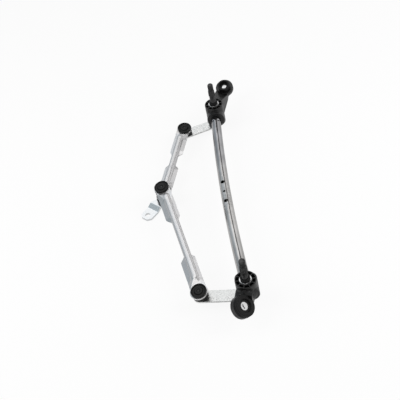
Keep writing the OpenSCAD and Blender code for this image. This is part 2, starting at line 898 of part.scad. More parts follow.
// A joggled strip from the ball stud to the motor shaft, its middle line beside the stud
module motor_crank() {
    half = crank_w / 2;
    end_w = crank_w / 2 + ball_shank_d / 4;
    far_end = crank_len + crank_tip;
    left = half - crank_skew;
    right = -half - crank_skew;
    step_end = joggle_at + joggle_len;
    under = crank_t * 0.4;
    color(zinc)
        translate([pin_xy[0], pin_xy[1], crank_z])
            rotate([0, 0, crank_angle])
                difference() {
                    intersection() {
                        rotate([90, 0, 0])
                            translate([0, 0, -2 * crank_w])
                                linear_extrude(4 * crank_w)
                                    polygon([
                                        [-crank_w, 0], [joggle_at, 0], [step_end, -crank_joggle],
                                        [far_end, -crank_joggle], [far_end, -crank_joggle - crank_t],
                                        [step_end - under, -crank_joggle - crank_t],
                                        [joggle_at - under, -crank_t], [-crank_w, -crank_t]
                                    ]);
                        translate([0, 0, -crank_joggle - 2 * crank_t])
                            linear_extrude(crank_joggle + 3 * crank_t) {
                                circle(r = end_w);
                                polygon([
                                    [0, -end_w], [joggle_at, right], [far_end - crank_chamfer, right],
                                    [far_end, right + crank_chamfer], [far_end, left - crank_chamfer],
                                    [far_end - crank_chamfer, left], [joggle_at, left], [0, end_w]
                                ]);
                            }
                    }
                    cylinder(r = ball_shank_d / 2 + fit_gap, h = 3 * crank_t, center = true);
                    translate([crank_len, -crank_skew, -crank_joggle])
                        cylinder(d = motor_shaft_d, h = 3 * crank_t, center = true);
                }
}

frame_tube();
near_bearing_housing();
far_bearing_housing();
near_grommet();
far_grommet();
near_grommet_sleeve();
far_grommet_sleeve();
near_upper_bush();
near_lower_bush();
far_upper_bush();
far_lower_bush();
near_spindle();
near_lever();
near_lever_ball();
near_top_washer();
near_retaining_ring();
near_shaft_seal();
near_lower_washer();
far_spindle();
far_lever();
far_lever_ball();
far_top_washer();
far_retaining_ring();
far_shaft_seal();
far_lower_washer();
near_rod();
near_rod_lever_socket();
near_rod_crank_socket();
crank_upper_ball();
far_rod();
far_rod_lever_socket();
far_rod_crank_socket();
motor_crank();
crank_ball_stud();
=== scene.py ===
# %% [markdown]
# # Windscreen wiper linkage
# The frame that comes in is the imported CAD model, in metres: Z runs up the wiper spindles,
# the origin is on the near spindle at the top of its tower, and the far spindle stands
# 430 mm away along Y. Everything below dresses that frame and moves with its bodies.

# %% Load the frame
import json
import math

import bmesh
import bpy
from mathutils import Matrix, Vector


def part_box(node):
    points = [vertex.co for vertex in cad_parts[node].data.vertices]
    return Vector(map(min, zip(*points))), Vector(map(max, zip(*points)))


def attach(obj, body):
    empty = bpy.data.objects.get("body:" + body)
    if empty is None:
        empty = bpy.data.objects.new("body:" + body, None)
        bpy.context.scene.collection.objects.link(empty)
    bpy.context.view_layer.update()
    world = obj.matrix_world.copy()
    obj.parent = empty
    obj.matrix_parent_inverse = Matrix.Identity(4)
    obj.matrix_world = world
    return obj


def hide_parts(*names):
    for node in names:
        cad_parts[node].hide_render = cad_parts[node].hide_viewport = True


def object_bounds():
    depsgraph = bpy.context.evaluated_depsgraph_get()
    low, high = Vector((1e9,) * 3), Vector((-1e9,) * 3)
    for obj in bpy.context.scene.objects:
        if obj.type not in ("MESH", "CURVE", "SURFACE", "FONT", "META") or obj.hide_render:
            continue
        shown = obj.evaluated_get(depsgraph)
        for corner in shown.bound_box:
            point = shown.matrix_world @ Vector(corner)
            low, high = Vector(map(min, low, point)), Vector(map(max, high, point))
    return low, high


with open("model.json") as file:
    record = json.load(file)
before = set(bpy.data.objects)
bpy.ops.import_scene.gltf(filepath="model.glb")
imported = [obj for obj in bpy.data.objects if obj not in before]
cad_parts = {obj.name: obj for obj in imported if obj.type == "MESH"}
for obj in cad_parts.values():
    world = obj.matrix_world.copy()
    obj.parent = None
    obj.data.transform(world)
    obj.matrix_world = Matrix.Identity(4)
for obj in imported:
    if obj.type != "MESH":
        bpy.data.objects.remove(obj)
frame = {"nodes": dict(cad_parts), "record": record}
cad_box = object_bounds()
MM = 0.001

# %% [markdown]
# ## Camera
# The photograph was taken from the near end, about 46 degrees above the floor, with a long
# lens and the frame tilted a little. The camera's place and turn were worked out from the two
# bearing towers, so they are given as a point and two directions. Three angles would do as
# well, but a matrix made from directions can be checked against the picture by hand.

# %% Camera
FRAME_PIXELS = 400
FOCAL_PIXELS = 795.0
EYE = Vector((11.937, -755.777, 982.039)) * MM
RIGHT = Vector((0.98134, -0.10270, -0.16255))
UP = Vector((0.18641, 0.71536, 0.67343))

camera_data = bpy.data.cameras.new("studio_camera")
camera_data.sensor_width = 36.0
camera_data.lens = FOCAL_PIXELS * camera_data.sensor_width / FRAME_PIXELS
camera_data.clip_end = 50.0
camera = bpy.data.objects.new("studio_camera", camera_data)
bpy.context.scene.collection.objects.link(camera)
turn = Matrix((RIGHT, UP, RIGHT.cross(UP))).transposed()
camera.matrix_world = Matrix.Translation(EYE) @ turn.to_4x4()
bpy.context.scene.camera = camera
bpy.context.scene.view_settings.view_transform = "Standard"
print("camera lens:", round(camera_data.lens, 2), "mm")

# %% [markdown]
# ## Writing shader nodes as sums
# A finish is easier to read as arithmetic than as a list of links. `Value` wraps a socket and
# turns +, -, * and / into Math nodes. `Finish` owns one material and adds every other kind of
# node through its one method, `add`.

# %% Shader helpers


class Value:
    """A shader socket with arithmetic."""

    def __init__(self, tree, socket):
        self.tree = tree
        self.socket = socket

    def math(self, operation, first, second=None, clamp=False):
        node = self.tree.nodes.new("ShaderNodeMath")
        node.operation = operation
        node.use_clamp = clamp
        for socket, value in zip(node.inputs, (first, second)):
            plug(self.tree, socket, value)
        return Value(self.tree, node.outputs[0])

    def __add__(self, other):
        return self.math("ADD", self, other)

    def __sub__(self, other):
        return self.math("SUBTRACT", self, other)

    def __rsub__(self, other):
        return self.math("SUBTRACT", other, self)

    def __mul__(self, other):
        return self.math("MULTIPLY", self, other)

    def __truediv__(self, other):
        return self.math("DIVIDE", self, other)

    __radd__ = __add__
    __rmul__ = __mul__

    def also(self, name):
        """Another output of the same node."""
        return Value(self.tree, self.socket.node.outputs[name])

    def clamped(self):
        return self.math("ADD", self, 0.0, clamp=True)

    def size(self):
        return self.math("ABSOLUTE", self)


def plug(tree, socket, value):
    """Links a Value to a socket, or sets the socket to a plain number or colour."""
    if isinstance(value, Value):
        tree.links.new(value.socket, socket)
    elif value is not None:
        socket.default_value = value


class Finish:
    """One procedural material, or any other node tree."""

    def __init__(self, name, tree=None):
        self.material = None
        if tree is None:
            self.material = bpy.data.materials.new(name)
            self.material.use_nodes = True
            tree = self.material.node_tree
        self.tree = tree
        tree.nodes.clear()

    def add(self, kind, settings=None, sockets=None, out=0):
        """Adds a node: its settings first, then its sockets by name or number."""
        node = self.tree.nodes.new(kind)
        for key, value in (settings or {}).items():
            if key == "stops":
                set_ramp(node.color_ramp, value)
            else:
                setattr(node, key, value)
        for key, value in (sockets or {}).items():
            plug(self.tree, node.inputs[key], value)
        return Value(self.tree, node.outputs[out]) if node.outputs else None

    def axes(self):
        """The object's own X, Y and Z, in millimetres."""
        coords = self.add("ShaderNodeTexCoord", out="Object")
        x = self.add("ShaderNodeSeparateXYZ", None, {"Vector": coords}, out="X")
        return x / MM, x.also("Y") / MM, x.also("Z") / MM

    def place(self, stretch=(1.0, 1.0, 1.0)):
        """The object's own coordinates, stretched."""
        coords = self.add("ShaderNodeTexCoord", out="Object")
        return self.add("ShaderNodeMapping", None, {"Vector": coords, "Scale": stretch})

    def noise(self, where, scale, detail=3.0, rough=0.55):
        return self.add("ShaderNodeTexNoise", None,
                        {"Vector": where, "Scale": scale, "Detail": detail, "Roughness": rough})

    def ramp(self, value, *stops):
        return self.add("ShaderNodeValToRGB", {"stops": stops}, {"Fac": value})

    def mix(self, factor, first, second, blend="MIX"):
        """Mixes two colours."""
        return self.add("ShaderNodeMix", {"data_type": "RGBA", "blend_type": blend},
                        {0: factor, 6: first, 7: second}, out=2)

    def bump(self, height, strength, distance):
        return self.add("ShaderNodeBump", None,
                        {"Height": height, "Strength": strength, "Distance": distance})

    def surface(self, **sockets):
        """Closes the material with one Principled shader."""
        named = {key.replace("_", " "): value for key, value in sockets.items()}
        shader = self.add("ShaderNodeBsdfPrincipled", None, named)
        self.add("ShaderNodeOutputMaterial", None, {"Surface": shader})
        return self.material


def set_ramp(ramp, stops):
    while len(ramp.elements) < len(stops):
        ramp.elements.new(1.0)
    for element, (position, colour) in zip(ramp.elements, stops):
        element.position = position
        element.color = colour


def grey(level):
    return (level, level, level, 1.0)


def rising(value, slope):
    """0 until the value passes 0, then up to 1."""
    return (value * slope).clamped()


print("shader helpers ready")

# %% [markdown]
# ## Studio
# The linkage lies on a white sweep. Bright metal shows whatever stands around it, so the room
# that the metal reflects matters more than the lamps. Going round the tube, from the left wall
# over the ceiling to the right wall, the room is grey, white, dark for a narrow gap that draws
# the streak down the tube, white again, and grey. A panel overhead, a left wall and a card on
# the right light the strips. Real cards could stand there instead, but colours by direction are
# quicker to tune and cast no shadow. Plain surfaces get an even fill.

# %% Room light
world = bpy.data.worlds.new("studio_room")
bpy.context.scene.world = world
world.use_nodes = True
room = Finish("studio_room", world.node_tree)
seen = room.add("ShaderNodeLightPath", out="Is Camera Ray")
direction = room.add("ShaderNodeTexCoord", out="Generated")
across = room.add("ShaderNodeSeparateXYZ", None, {"Vector": direction}, out="X")
away, upward = across.also("Y"), across.also("Z")
round_tube = across.math("ARCTAN2", across, upward) / (2.0 * math.pi) + 0.5
COOL = (0.87, 0.945, 1.0)
WHITE_FROM = 0.9
OVERHEAD, RIGHT_CARD, BEHIND, WORLD_FILL = 1.7, 1.1, 0.3, 0.55
LEFT_WALL = (0.28, 0.335, 0.36, 1.0)


def walls(*stops):
    """Levels of grey by degrees round the tube: -90 is left, 0 overhead and 90 right."""
    return [(degrees / 360.0 + 0.5, grey(level) if degrees > 0 or level > WHITE_FROM
             else tuple(level * c for c in COOL) + (1.0,)) for degrees, level in stops]


ROOM = walls((-140, 0.30), (-90, 0.42), (-77, 0.46), (-51, 0.48), (-40, 0.55), (-27, 0.76),
             (-10, 0.97), (4, 1.0), (11, 0.8), (14, 0.05), (25, 0.05), (30, 0.5), (40, 0.72),
             (56, 0.86), (75, 0.74), (95, 0.55), (140, 0.30))
mirror = room.ramp(round_tube, *ROOM)
middle_panel = (1.0 - (across + 0.12).size() * 3.2).clamped()
overhead = rising(0.66 - away, 6.0) * middle_panel * rising(upward, 2.0)
mirror = room.mix(overhead, mirror, grey(OVERHEAD))
left_wall = rising(0.4 - away, 3.0) * rising(-0.3 - across, 4.0)
mirror = room.mix(left_wall, mirror, LEFT_WALL)
right_card = rising(0.25 - away, 4.0) * rising(away + 0.1, 8.0) * rising(across - 0.8, 8.0)
mirror = room.mix(right_card, mirror, grey(RIGHT_CARD))
mirror = room.mix(rising(-0.15 - away, 2.5), mirror, grey(BEHIND))
fill = room.mix(seen.also("Is Glossy Ray"), grey(WORLD_FILL), mirror)
colour = room.mix((seen + seen.also("Is Transmission Ray")).clamped(), fill, grey(1.0))
background = room.add("ShaderNodeBackground", None, {"Color": colour, "Strength": 1.0})
room.add("ShaderNodeOutputWorld", None, {"Surface": background})
print("room stops:", len(ROOM))

# %% [markdown]
# ## Lamps and floor
# Large area lamps shade softly, as a photographer's boxes do, where point lamps would draw hard
# shadows. They don't show in plating, which would turn them into white spots. The floor is white
# paper that glows to the camera but looks greyer in the metal.

# %% Lamps


def soft_box(name, at, target, size, watts):
    """A rectangular lamp that faces a point, unseen in reflections."""
    lamp = bpy.data.lights.new(name, "AREA")
    lamp.shape = "RECTANGLE"
    lamp.size, lamp.size_y = size
    lamp.energy = watts
    obj = bpy.data.objects.new(name, lamp)
    bpy.context.scene.collection.objects.link(obj)
    obj.location = at
    obj.rotation_euler = (Vector(target) - Vector(at)).to_track_quat("-Z", "Y").to_euler()
    obj.visible_glossy = False
    return obj


MIDDLE = (-0.05, 0.2, -0.02)
soft_box("left_box", (-1.1, 0.1, 0.9), MIDDLE, (0.7, 1.4), 9.0)
soft_box("right_box", (1.2, 0.0, 0.7), MIDDLE, (0.6, 1.4), 12.0)
print("lamps:", len(bpy.data.lights))

# %% Floor
FLOOR_HALF = 6.0
FLOOR_MIRRORED, PAPER, GLOW_SHARE = 0.58, 0.85, 0.88
CORNER_X, CORNER_Y, FADE_X, FADE_Y, CORNER_LIFT = -60.0, 60.0, 40.0, 60.0, 0.4
floor_z = cad_box[0].z
floor_mesh = bpy.data.meshes.new("studio_floor")
corners = [(x * FLOOR_HALF, y * FLOOR_HALF, floor_z) for x, y in ((-1, -1), (1, -1), (1, 1), (-1, 1))]
floor_mesh.from_pydata(corners, [], [(0, 1, 2, 3)])
floor = bpy.data.objects.new("studio_floor", floor_mesh)
bpy.context.scene.collection.objects.link(floor)
sweep = Finish("white_sweep")
floor_seen = sweep.add("ShaderNodeLightPath", out="Is Camera Ray")
floor_glossy = floor_seen.also("Is Glossy Ray")
paper = sweep.add("ShaderNodeBsdfDiffuse", None, {"Color": grey(PAPER)})
floor_x, floor_y, _ = sweep.axes()
lit_corner = ((CORNER_X - floor_x) / FADE_X).clamped() * ((CORNER_Y - floor_y) / FADE_Y).clamped()
shine = floor_seen + floor_glossy * (FLOOR_MIRRORED + lit_corner * CORNER_LIFT)
glow = sweep.add("ShaderNodeEmission", None, {"Color": grey(1.0), "Strength": shine})
share = (floor_seen + floor_glossy).clamped() * GLOW_SHARE
lit_paper = sweep.add("ShaderNodeMixShader", None, {0: share, 1: paper, 2: glow})
sweep.add("ShaderNodeOutputMaterial", None, {"Surface": lit_paper})
floor_mesh.materials.append(sweep.material)
print("floor at", round(floor_z / MM, 1), "mm")

# %% [markdown]
# ## Finishes
# Nothing here is one flat colour. The tube is drawn and plated and mottled where it was handled
# and pressed for the motor, and along its length it carries painted reflected light, brightest
# a third of the way along and darker and cooler at its far end. The strips have a coarse crystal
# grain, the rods a passivation that clouds, and the mouldings a fine eroded skin. Painted pictures
# could do this too, but noise on the object's own coordinates needs no unwrapping, stays on a
# piece when it moves, and can be read as numbers.

# %% Metal finishes
TUBE_LENGTH = 430.0
HANDLED_AT, HANDLED_HALF = 195.0, 75.0


def tube_zinc():
    """Bright drawn tube: fine lines along Y, mottled near its middle, painted reflection darker at the far end.
    """
    f = Finish("tube_zinc")
    y = f.axes()[1]
    lines = f.noise(f.place((900.0, 6.0, 900.0)), 1.0, 4.0)
    clouds = f.noise(f.place((70.0, 30.0, 70.0)), 1.0, 3.0)
    spots = f.noise(f.place(), 260.0, 4.0, 0.65)
    along = y / TUBE_LENGTH
    # Painted reflected light: brightness along Y, highest a third of the way along, darker and cooler at the
    # far end.
    painted_reflection = f.ramp(along, (0.1, grey(0.9)), (0.24, grey(0.98)), (0.35, grey(1.08)),
                     (0.45, grey(1.0)), (0.6, grey(0.98)), (0.68, (0.72, 0.73, 0.76, 1)),
                     (0.92, (0.74, 0.75, 0.78, 1)))
    handled = (1.0 - (y - HANDLED_AT).size() / HANDLED_HALF).clamped()
    body = f.ramp(clouds, (0.35, (0.55, 0.54, 0.53, 1.0)), (0.62, (0.72, 0.71, 0.70, 1.0)))
    mottle = f.mix(handled * 0.75, grey(1.0), f.ramp(spots, (0.36, grey(0.62)), (0.62, grey(1.12))))
    base = f.mix(1.0, f.mix(1.0, body, painted_reflection, "MULTIPLY"), mottle, "MULTIPLY")
    rough = 0.07 + lines * 0.05 + handled * spots * 0.22
    return f.surface(Base_Color=base, Metallic=1.0, Roughness=rough,
                     Normal=f.bump(lines + handled * spots * 2.0, 0.25, 0.0002))


def plated(name, light, dark, tint, rough, grain, contrast=(0.35, 0.65), relief=0.2, near_end=1.0):
    """Zinc plating: a crystal grain, with cloudy colour from the passivation. contrast gives the
    noise levels of the dark and the light crystals, and near_end dulls the pieces at the near end."""
    f = Finish(name)
    crystals = f.noise(f.place(), grain, 4.0, 0.7)
    clouds = f.noise(f.place(), 45.0, 3.0)
    body = f.ramp(crystals, (contrast[0], dark), (contrast[1], light))
    base = f.mix(f.ramp(clouds, (0.4, grey(0.0)), (0.7, grey(0.6))), body, tint)
    if near_end < 1.0:
        along = f.axes()[1] / TUBE_LENGTH
        dulled = f.ramp(along, (0.1, grey(near_end)), (0.9, grey(1.0)))
        base = f.mix(1.0, base, dulled, "MULTIPLY")
    return f.surface(Base_Color=base, Metallic=1.0, Roughness=rough + crystals * (0.75 * relief),
                     Normal=f.bump(crystals, relief, 0.0002))


def phosphated(name, level):
    """Dark phosphate on turned steel, oiled, so that it keeps a dull gloss."""
    f = Finish(name)
    crystals = f.noise(f.place(), 1500.0, 3.0, 0.7)
    turned = f.noise(f.place((40.0, 40.0, 2500.0)), 1.0, 2.0)
    base = f.ramp(crystals, (0.35, grey(level * 0.75)), (0.65, grey(level * 1.3)))
    return f.surface(Base_Color=base, Metallic=0.85, Roughness=0.26 + crystals * 0.14 + turned * 0.05,
                     Normal=f.bump(crystals + turned, 0.2, 0.0002))


# %% Moulded finishes


def moulded(name, level, rough, grain, gloss):
    """Black moulded plastic or rubber with a fine eroded texture."""
    f = Finish(name)
    texture = f.noise(f.place(), grain, 3.0, 0.6)
    flow = f.noise(f.place(), 30.0, 2.0)
    base = f.ramp(flow, (0.3, grey(level * 0.75)), (0.7, grey(level * 1.3)))
    return f.surface(Base_Color=base, Roughness=rough + texture * 0.14, Specular_IOR_Level=gloss,
                     Normal=f.bump(texture, 0.15, 0.0002))


finishes = {
    "tube_zinc": tube_zinc(),
    "lever_zinc": plated("lever_zinc", (1.0, 1.0, 0.99, 1), (0.46, 0.47, 0.47, 1),
                         (0.88, 0.9, 0.89, 1), 0.26, 480, (0.36, 0.56), near_end=0.88),
    "rod_zinc": plated("rod_zinc", (0.84, 0.83, 0.83, 1), (0.77, 0.76, 0.76, 1),
                       (0.75, 0.75, 0.77, 1), 0.38, 700, relief=0.03),
    "crank_zinc": plated("crank_zinc", (0.95, 0.96, 0.96, 1), (0.88, 0.9, 0.92, 1),
                         (0.86, 0.92, 0.95, 1), 0.24, 700),
    "sleeve_zinc": plated("sleeve_zinc", grey(0.98), grey(0.92), grey(0.97), 0.36, 900),
    "bright_washer": plated("bright_washer", grey(0.92), grey(0.85), grey(0.9), 0.2, 900),
    "dark_steel": phosphated("dark_steel", 0.07),
    "bush_bronze": plated("bush_bronze", (0.5, 0.34, 0.18, 1), (0.36, 0.24, 0.13, 1),
                          (0.4, 0.3, 0.2, 1), 0.35, 900),
    "housing_plastic": moulded("housing_plastic", 0.006, 0.24, 1400, 0.5),
    "socket_plastic": moulded("socket_plastic", 0.004, 0.26, 1800, 0.28),
    "rubber": moulded("rubber", 0.004, 0.42, 1600, 0.3),
}
for node in frame["nodes"].values():
    for painted in node.material_slots:
        painted.material = finishes[painted.material.name.split(".")[0]]
print("finishes:", len(finishes))

# %% [markdown]
# ## Making pieces
# A piece that takes over from a CAD node rides on the same body, hides that node and wears the
# same finish, so `stand_in` does all of that in one place. A piece comes from a worked copy of
# the node, from an outline turned on a lathe, or from a loft. The copy is merged first, because
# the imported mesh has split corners.

# %% Piece helpers
record = frame["record"]
SLOTS = {part["node"]: part["material_slot"] for part in record["subparts"]}
BODIES = {node: body for body, nodes in record["behaviour"]["bodies"].items() for node in nodes}
EVEN_SHADING = ("WEIGHTED_NORMAL", {"keep_sharp": True, "weight": 80})


def new_object(name, mesh):
    obj = bpy.data.objects.new(name, mesh)
    bpy.context.scene.collection.objects.link(obj)
    return obj


def belongs(obj, node):
    """Gives a piece the body and the finish of a CAD node."""
    obj.data.materials.clear()
    obj.data.materials.append(finishes[SLOTS[node]])
    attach(obj, BODIES[node])
    return obj


def stand_in(obj, *nodes):
    """Makes a piece the shown form of CAD nodes that share a body and a finish."""
    belongs(obj, nodes[0])
    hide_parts(*nodes)
    return obj


def applied(obj):
    """Turns an object with modifiers into one with a plain mesh."""
    before = obj.data
    evaluated = obj.evaluated_get(bpy.context.evaluated_depsgraph_get())
    plain = bpy.data.meshes.new_from_object(evaluated)
    obj.modifiers.clear()
    obj.data = plain
    bpy.data.meshes.remove(before)
    plain.name = obj.name
    return obj


def worked(obj, *modifiers):
    """Runs modifiers, each a kind and its settings, over an object."""
    for kind, settings in modifiers:
        modifier = obj.modifiers.new(kind, kind)
        for key, value in settings.items():
            setattr(modifier, key, value)
    return applied(obj)


def shaped(name, form, *modifiers):
    """Turns a bmesh whose faces already point outwards into an object, and works it."""
    mesh = bpy.data.meshes.new(name)
    form.to_mesh(mesh)
    form.free()
    mesh.shade_smooth()
    obj = new_object(name, mesh)
    return worked(obj, *modifiers) if modifiers else obj


def cut_by(tool):
    """A modifier that cuts a closed tool out of a piece."""
    return ("BOOLEAN", {"object": tool, "operation": "DIFFERENCE", "solver": "EXACT"})


def merged_copy(node):
    form = bmesh.new()
    form.from_mesh(frame["nodes"][node].data)
    bmesh.ops.remove_doubles(form, verts=form.verts, dist=0.002 * MM)
    return form


def bevelled(node, width, bend=0.0):
    """A copy of a CAD node with its edges broken, and its bends rounded where it has any."""
    form = merged_copy(node)
    bmesh.ops.dissolve_limit(form, angle_limit=math.radians(0.5), verts=form.verts, edges=form.edges)
    if bend:
        folds = [e for e in form.edges if len(e.link_faces) == 2
                 and math.radians(15) < e.calc_face_angle() < math.radians(50)]
        bmesh.ops.bevel(form, geom=folds, offset=bend * MM, offset_type="OFFSET", segments=5,
                        profile=0.5, affect="EDGES", clamp_overlap=True)
    edge = ("BEVEL", {"width": width * MM, "segments": 3, "limit_method": "ANGLE",
                      "angle_limit": math.radians(32.0), "harden_normals": False})
    return shaped(node + "_form", form, edge, EVEN_SHADING)


def hull(form, points):
    """Adds the convex hull of some points, in metres, to a bmesh."""
    corners = [form.verts.new(point) for point in points]
    found = bmesh.ops.convex_hull(form, input=corners)
    loose = {item for key in ("geom_interior", "geom_unused") for item in found[key]
             if isinstance(item, bmesh.types.BMVert)}
    bmesh.ops.delete(form, geom=list(loose), context="VERTS")
    return form


def moulded_form(node, voxel, rounds, *swells):
    """A copy of a CAD node with soft moulded edges and fillets, from a fine remesh. Each swell is
    a set of points, in millimetres, whose hull is moulded on."""
    form = merged_copy(node)
    for swell in swells:
        hull(form, [Vector(point) * MM for point in swell])
    remesh = ("REMESH", {"mode": "VOXEL", "voxel_size": voxel * MM, "use_smooth_shade": True})
    soften = ("SMOOTH", {"factor": 0.5, "iterations": rounds})
    return shaped(node + "_form", form, remesh, soften)


print("nodes to dress:", len(SLOTS))

# %% [markdown]
# ## Turned and swept pieces
# A turned piece is one outline spun round an axis, and a swept one is a row of points carried
# along. A Screw modifier could spin it, but rings that are written out close cleanly on the axis.

# %% Turned and swept pieces
SMOOTH_ANGLE = math.radians(35.0)
ON_AXIS = 1e-6


def rounded(outline, radius, steps=3):
    """Replaces the corners of an open outline by short arcs."""
    points = [Vector(outline[0])]
    for before, at, after in zip(outline, outline[1:], outline[2:]):
        at = Vector(at)
        to_before, to_after = Vector(before) - at, Vector(after) - at
        cut = min(radius, 0.45 * to_before.length, 0.45 * to_after.length)
        start, end = at + to_before.normalized() * cut, at + to_after.normalized() * cut
        for step in range(steps + 1):
            t = step / steps
            points.append((1 - t) ** 2 * start + 2 * t * (1 - t) * at + t ** 2 * end)
    return points + [Vector(outline[-1])]


def lathe(name, outline, place, steps=72):
    """Turns (radius, height) points, in millimetres, round the local Z axis. An outline that
    doesn't start on the axis is closed into a ring."""
    form = bmesh.new()
    rows = []
    for i in range(steps):
        a = 2.0 * math.pi * i / steps
        spots = [Vector((r * math.cos(a), r * math.sin(a), height)) * MM for r, height in outline]
        rows.append([form.verts.new(place @ spot) for spot in spots])
    links = list(zip(range(len(outline)), range(1, len(outline))))
    if outline[0][0] > ON_AXIS:
        links.append((len(outline) - 1, 0))
    for row, following in zip(rows, rows[1:] + rows[:1]):
        for low, high in links:
            form.faces.new((row[low], following[low], following[high], row[high]))
    bmesh.ops.remove_doubles(form, verts=form.verts, dist=0.001 * MM)
    bmesh.ops.dissolve_degenerate(form, edges=form.edges, dist=0.0005 * MM)
    bmesh.ops.recalc_face_normals(form, faces=form.faces)
    obj = shaped(name, form)
    obj.data.set_sharp_from_angle(angle=SMOOTH_ANGLE)
    return obj


def loft(rows, closed):
    """Joins rows of points, in millimetres, into a sheet whose highest face points up."""
    form = bmesh.new()
    grid = [[form.verts.new(p * MM) for p in row] for row in rows]
    for row, following in zip(grid, grid[1:]):
        for i in range(len(row) - (0 if closed else 1)):
            j = (i + 1) % len(row)
            form.faces.new((row[i], row[j], following[j], following[i]))
    bmesh.ops.remove_doubles(form, verts=form.verts, dist=0.01 * MM)
    bmesh.ops.recalc_face_normals(form, faces=form.faces)
    form.faces.ensure_lookup_table()
    form.normal_update()
    top = max(form.faces, key=lambda face: face.calc_center_median().z)
    if top.normal.z < 0:
        bmesh.ops.reverse_faces(form, faces=form.faces)
    return form


def between(x, *points):
    """A straight-line graph through (x, y) points."""
    for (x0, y0), (x1, y1) in zip(points, points[1:]):
        if x <= x1:
            return y0 + (y1 - y0) * max(0.0, x - x0) / (x1 - x0)
    return points[-1][1]


def eased(x, start, end):
    """Goes smoothly from 0 at start to 1 at end."""
    t = min(1.0, max(0.0, (x - start) / (end - start)))
    return t * t * (3.0 - 2.0 * t)


print("lathe and loft ready")

# %% [markdown]
# ## Housings, levers and small parts
# The housings are mouldings, so every edge and inner corner is rounded. A Bevel modifier rounds
# only the outer edges, so a copy of each housing is remeshed in fine voxels and smoothed, which
# fills the inner corners too. Where the moulding is fuller than the CAD model, hulls of a few
# points are moulded on first. The levers, the crank and the washers are stampings, and a small
# bevel on each edge and soft bends are enough there. The bushes get the same bevel.

# %% Eye frames


def eye_place(centre, lean):
    """A mount eye's own axes: Z out of its front face."""
    return (Matrix.Translation(Vector(centre) * MM) @ Matrix.Rotation(math.radians(lean[1]), 4, "Y")
            @ Matrix.Rotation(math.radians(lean[0]), 4, "X"))


RING_H, RING_R = 9.0, 18.5
FAR_EYE_OFF = (26.6, 61.8)
NEAR_EYE = eye_place((-10.8, -35.8, -19.4), (20.0, 42.0))
FAR_EYE = eye_place((FAR_EYE_OFF[0], TUBE_LENGTH + FAR_EYE_OFF[1], -14.4), (21.0, -5.0))


def narrowed(obj, place, by):
    """Takes some millimetres off the outside of an eye's ring, fading into the arm."""
    back = place.inverted()
    for vertex in obj.data.vertices:
        at = back @ vertex.co / MM
        radius = math.hypot(at.x, at.y)
        if radius < 1.0:
            continue
        in_ring = eased(radius, RING_R - 4.0, RING_R - 0.5)
        in_ring *= 1.0 - eased(radius, RING_R + 0.5, RING_R + 8.0)
        in_depth = eased(at.z, -RING_H - 4.0, -RING_H - 1.0) * (1.0 - eased(at.z, 1.0, 4.0))
        scale = 1.0 - by * in_ring * in_depth / radius
        vertex.co = place @ (Vector((at.x * scale, at.y * scale, at.z)) * MM)


for eye in (NEAR_EYE, FAR_EYE):
    print("eye at", [round(v / MM, 1) for v in eye.translation], "mm")

# %% Housings
VOXEL, SOFTENING, RING_SLIMMED = 0.6, 4, 1.4
FLANK_R, FLANK_X, FLANK_Z, FLANK_Y = 15.0, 3.6, -24.5, (-13.5, 21.0)
NECK = ((-12.0, 0.0), (-16.4, -3.0), (-19.2, -11.0), (-21.5, -19.0), (-14.0, -19.0), (-6.0, -8.0))
NECK_Z = (-24.0, -13.0)
# Along the far arm: reach, height of its top, and its left side.
ARM_FROM, ARM_TO, ARM_CORNER = (15.5, -3.4, 10.0), (47.3, -17.4, 14.0), (60.5, -17.0, 15.0)
ARM_RIGHT, ARM_BOTTOM = -10.8, -23.8
near_flank = []
for angle in range(-60, 61, 15):
    a = math.radians(angle)
    near_flank += [(FLANK_X + FLANK_R * math.cos(a), y, FLANK_Z + FLANK_R * math.sin(a)) for y in FLANK_Y]
near_neck = [(x, y, z) for x, y in NECK for z in NECK_Z]
heading = math.atan2(FAR_EYE_OFF[1], FAR_EYE_OFF[0])
along_arm = Vector((math.cos(heading), math.sin(heading)))
beside_arm = Vector((-math.sin(heading), math.cos(heading)))
far_arm = []
for reach, top, left in (ARM_FROM, ARM_TO, ARM_CORNER):
    for side in (left,) if reach > ARM_TO[0] else (ARM_RIGHT, left):
        spot = along_arm * reach + beside_arm * side
        far_arm += [(spot.x, TUBE_LENGTH + spot.y, z) for z in (top, ARM_BOTTOM)]
near_form = moulded_form("near_bearing_housing", VOXEL, SOFTENING, near_flank, near_neck)
near_housing = stand_in(near_form, "near_bearing_housing")
far_form = moulded_form("far_bearing_housing", VOXEL, SOFTENING, far_arm)
far_housing = stand_in(far_form, "far_bearing_housing")
narrowed(far_housing, FAR_EYE, RING_SLIMMED)
print("housings:", len(near_housing.data.polygons), len(far_housing.data.polygons), "faces")

# %% Stampings
STRIP_EDGE, CRANK_BEND = 0.5, 2.5
SMALL_EDGES = {"top_washer": 0.3, "lower_washer": 0.3, "retaining_ring": 0.2,
               "upper_bush": 0.3, "lower_bush": 0.3}
for node in ("near_lever", "far_lever"):
    stand_in(bevelled(node, STRIP_EDGE), node)
stand_in(bevelled("motor_crank", STRIP_EDGE, CRANK_BEND), "motor_crank")
for end in ("near", "far"):
    for kind, width in SMALL_EDGES.items():
        stand_in(bevelled(end + "_" + kind, width), end + "_" + kind)
print("stampings:", 3 + 2 * len(SMALL_EDGES))

# %% [markdown]
# ## Frame tube
# The tube bows over its whole length. Where the motor bolts on, its crown is pressed flatter so
# that the motor sits, and the tool leaves shallow rings. A curve with a round profile would
# give the bow but no dents, so the tube is lofted from rings of points: `dent` presses each
# point in, and a Solidify modifier gives the wall. Three drills then cut the holes, each with
# a small chamfer.

